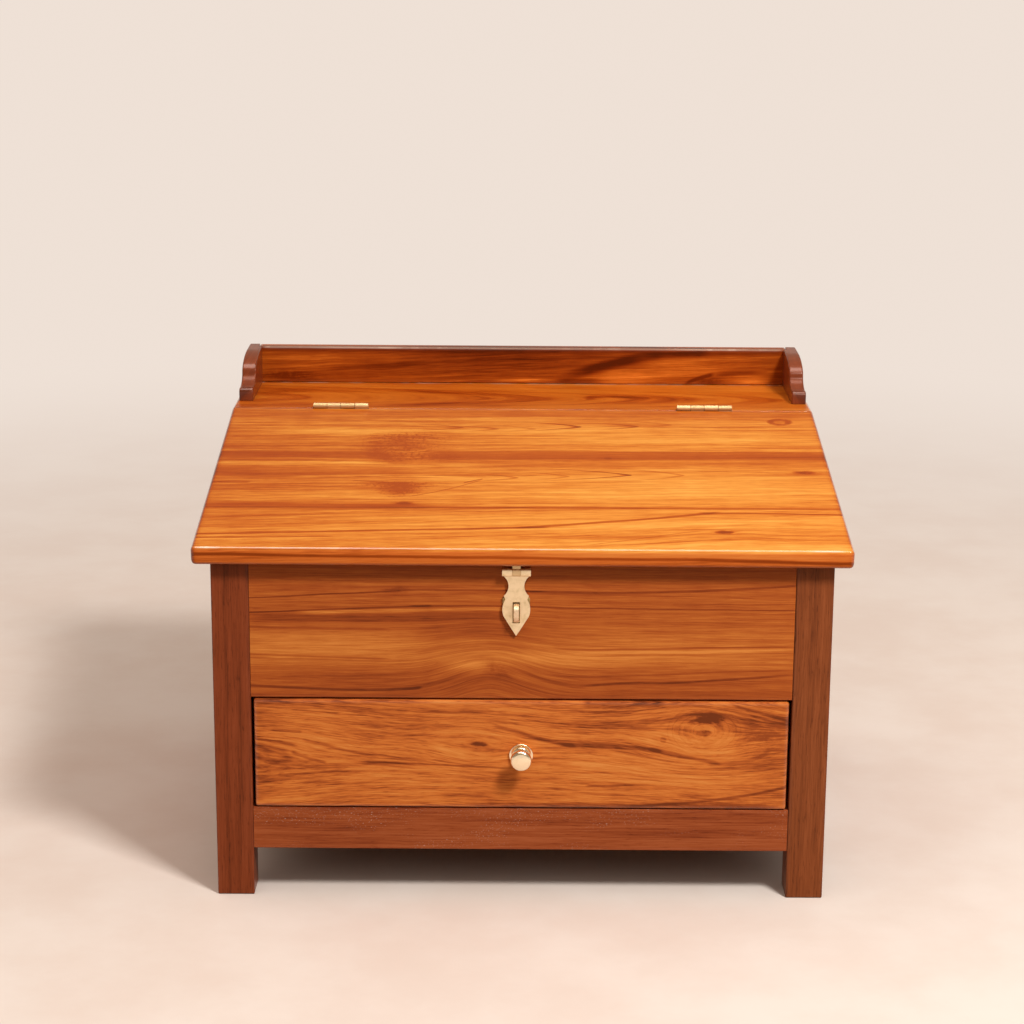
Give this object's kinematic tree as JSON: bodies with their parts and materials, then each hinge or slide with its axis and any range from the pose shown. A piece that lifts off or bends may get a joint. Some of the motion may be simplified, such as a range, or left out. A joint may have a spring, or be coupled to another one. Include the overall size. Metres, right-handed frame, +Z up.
{
  "type": "slant-top writing desk",
  "caption": "Low slant-top writing desk in lacquered teak: hinged sloping lid over a writing well, ledge with a shaped gallery, drawer with a turned knob, and a brass hasp and staple.",
  "frame": {"origin": "middle of the overall box's footprint, on the floor under the legs", "axes": "+X to the user's right across the desk, +Y from the front to the back, +Z up"},
  "size_m": [0.67, 0.5644, 0.4876],
  "materials": {
    "leg_teak": "dark red-brown teak under gloss lacquer, fine upright grain",
    "panel_teak": "mid-brown figured teak under gloss lacquer",
    "rail_teak": "red-brown teak under lacquer, a little worn",
    "side_teak": "red-brown teak under gloss lacquer",
    "inner_teak": "bare or lightly sealed teak, matt",
    "ledge_teak": "dark red-brown teak with streaks under gloss lacquer",
    "gallery_teak": "dark red-brown teak under gloss lacquer",
    "lid_teak": "orange-brown figured teak under gloss lacquer",
    "drawer_teak": "orange-brown figured teak with knots under gloss lacquer",
    "hinge_brass": "pale brass, brushed and a little dull",
    "hasp_brass": "pale satin brass",
    "screw_brass": "dull brass",
    "knob_brass": "polished brass"
  },
  "bodies": {
    "case": {"front_left_leg": "leg_teak", "front_right_leg": "leg_teak", "rear_left_leg": "leg_teak", "rear_right_leg": "leg_teak", "front_panel": "panel_teak", "front_bottom_rail": "rail_teak", "left_side_panel": "side_teak", "right_side_panel": "side_teak", "back_panel": "side_teak", "well_floor": "inner_teak", "left_drawer_runner": "inner_teak", "right_drawer_runner": "inner_teak", "left_drawer_guide": "inner_teak", "right_drawer_guide": "inner_teak", "top_ledge": "ledge_teak", "gallery_rail": "gallery_teak", "gallery_left_bracket": "gallery_teak", "gallery_right_bracket": "gallery_teak", "left_hinge_ledge_leaf": "hinge_brass", "right_hinge_ledge_leaf": "hinge_brass", "left_hinge_pin": "hinge_brass", "right_hinge_pin": "hinge_brass", "left_hinge_ledge_leaf_screw_1": "screw_brass", "left_hinge_ledge_leaf_screw_2": "screw_brass", "left_hinge_ledge_leaf_screw_3": "screw_brass", "right_hinge_ledge_leaf_screw_1": "screw_brass", "right_hinge_ledge_leaf_screw_2": "screw_brass", "right_hinge_ledge_leaf_screw_3": "screw_brass", "staple": "hasp_brass", "staple_plate": "hasp_brass", "staple_plate_left_screw": "screw_brass", "staple_plate_right_screw": "screw_brass"},
    "lid": {"lid": "lid_teak", "left_hinge_lid_leaf": "hinge_brass", "right_hinge_lid_leaf": "hinge_brass", "left_hinge_lid_leaf_screw_1": "screw_brass", "left_hinge_lid_leaf_screw_2": "screw_brass", "left_hinge_lid_leaf_screw_3": "screw_brass", "right_hinge_lid_leaf_screw_1": "screw_brass", "right_hinge_lid_leaf_screw_2": "screw_brass", "right_hinge_lid_leaf_screw_3": "screw_brass", "hasp_plate": "hasp_brass", "hasp_pin": "hasp_brass", "hasp_plate_left_screw": "screw_brass", "hasp_plate_right_screw": "screw_brass"},
    "hasp": {"hasp_strap": "hasp_brass"},
    "drawer": {"drawer_front": "drawer_teak", "drawer_left_side": "inner_teak", "drawer_right_side": "inner_teak", "drawer_back": "inner_teak", "drawer_bottom": "inner_teak", "drawer_knob": "knob_brass", "knob_screw": "screw_brass"}
  },
  "joints": [
    {"name": "lid_hinge", "type": "hinge", "parent": "case", "child": "lid", "pos_m": [0, 0.11425, 0.4463], "axis": [-1, 0, 0], "range_deg": [0, 160]},
    {"name": "hasp_hinge", "type": "hinge", "parent": "lid", "child": "hasp", "pos_m": [-0.006, -0.26255, 0.35542], "axis": [-1, 0, 0], "range_deg": [0, 105]},
    {"name": "drawer_slide", "type": "slide", "parent": "case", "child": "drawer", "axis": [0, -1, 0], "range_m": [0, 0.3]}
  ]
}
